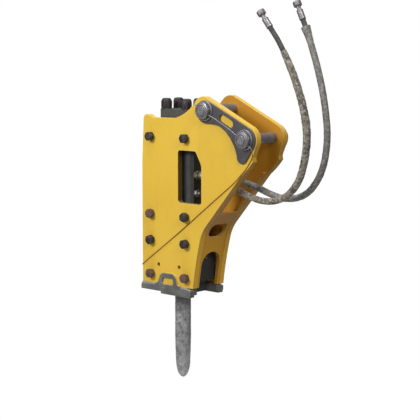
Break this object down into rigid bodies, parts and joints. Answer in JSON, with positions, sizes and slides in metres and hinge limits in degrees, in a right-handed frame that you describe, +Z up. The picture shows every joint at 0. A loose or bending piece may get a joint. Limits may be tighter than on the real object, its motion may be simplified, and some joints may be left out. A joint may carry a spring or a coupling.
{
  "type": "hydraulic breaker hammer",
  "caption": "Side plate hydraulic breaker hammer with a blunt ended chisel, two mounting pins and two supply hoses.",
  "frame": {"origin": "middle of the front mounting pin, midway between the side plates", "axes": "+Z up along the tool, away from its tip; +X from the front of the hammer to its rear, where the hoses leave; -Y is the near side plate's side"},
  "size_m": [1.1373, 0.326, 1.9963],
  "materials": {
    "yellow_paint": "satin paint, chipped and dusty",
    "dark_paint": "matt dark paint with scuffs",
    "grey_paint": "worn grey paint, bare at the edges",
    "body_paint": "dark grey-green paint, dusty",
    "black_bolt": "black oxide, dusty",
    "brown_bolt": "brown rusted oxide",
    "pin_steel": "worn steel",
    "tool_steel": "forged tool steel, scratched and polished by use",
    "ground_steel": "ground",
    "bush_steel": "machined, greased",
    "brass_fitting": "dirty zinc-yellow plating",
    "black_rubber": "matt rubber",
    "hose_sleeve": "woven sleeve, caked with dry mud",
    "wire_steel": "thin rusty wire"
  },
  "bodies": {
    "housing": {"back_head": "body_paint", "cylinder": "body_paint", "dust_seal": "black_rubber", "front_collar_far": "pin_steel", "front_collar_near": "pin_steel", "front_head": "body_paint", "front_pin": "pin_steel", "front_web": "yellow_paint", "gas_seal": "black_rubber", "gas_valve": "brass_fitting", "grease_nipple": "brass_fitting", "hose_end_far": "pin_steel", "hose_end_near": "pin_steel", "hose_far": "hose_sleeve", "hose_near": "hose_sleeve", "lower_bush": "bush_steel", "pin_doubler_far": "dark_paint", "pin_doubler_near": "dark_paint", "pin_wire": "wire_steel", "port_adapter_far": "brass_fitting", "port_adapter_near": "brass_fitting", "rear_collar_far": "pin_steel", "rear_collar_near": "pin_steel", "rear_pin": "pin_steel", "rear_rail_far": "yellow_paint", "rear_rail_near": "yellow_paint", "rear_web": "yellow_paint", "relief_valve": "ground_steel", "seal_carrier": "bush_steel", "side_plate_far": "yellow_paint", "side_plate_near": "yellow_paint", "side_rod_front_1": "brown_bolt", "side_rod_front_2": "black_bolt", "side_rod_front_3": "brown_bolt", "side_rod_front_4": "black_bolt", "side_rod_rear_1": "brown_bolt", "side_rod_rear_2": "black_bolt", "side_rod_rear_3": "black_bolt", "side_rod_rear_4": "black_bolt", "through_bolt_1": "black_bolt", "through_bolt_2": "black_bolt", "through_bolt_3": "black_bolt", "through_bolt_4": "black_bolt", "through_nut_1": "black_bolt", "through_nut_2": "black_bolt", "through_nut_3": "black_bolt", "through_nut_4": "black_bolt", "tie_wire": "wire_steel", "tool_pin_front": "ground_steel", "tool_pin_rear": "ground_steel", "upper_bush": "bush_steel", "upper_hose_end_far": "pin_steel", "upper_hose_end_near": "pin_steel", "valve_cap": "bush_steel", "wear_shoe_far": "grey_paint", "wear_shoe_near": "grey_paint"},
    "tool": {"chisel": "tool_steel"},
    "piston": {"piston": "ground_steel"},
    "valve": {"valve_spool": "ground_steel"}
  },
  "joints": [
    {"name": "tool_slide", "type": "slide", "parent": "housing", "child": "tool", "axis": [0, 0, 1], "range_m": [0, 0.045]},
    {"name": "piston_slide", "type": "slide", "parent": "housing", "child": "piston", "axis": [0, 0, 1], "range_m": [0, 0.07]},
    {"name": "valve_slide", "type": "slide", "parent": "housing", "child": "valve", "axis": [0, 0, 1], "range_m": [0, 0.009]}
  ]
}
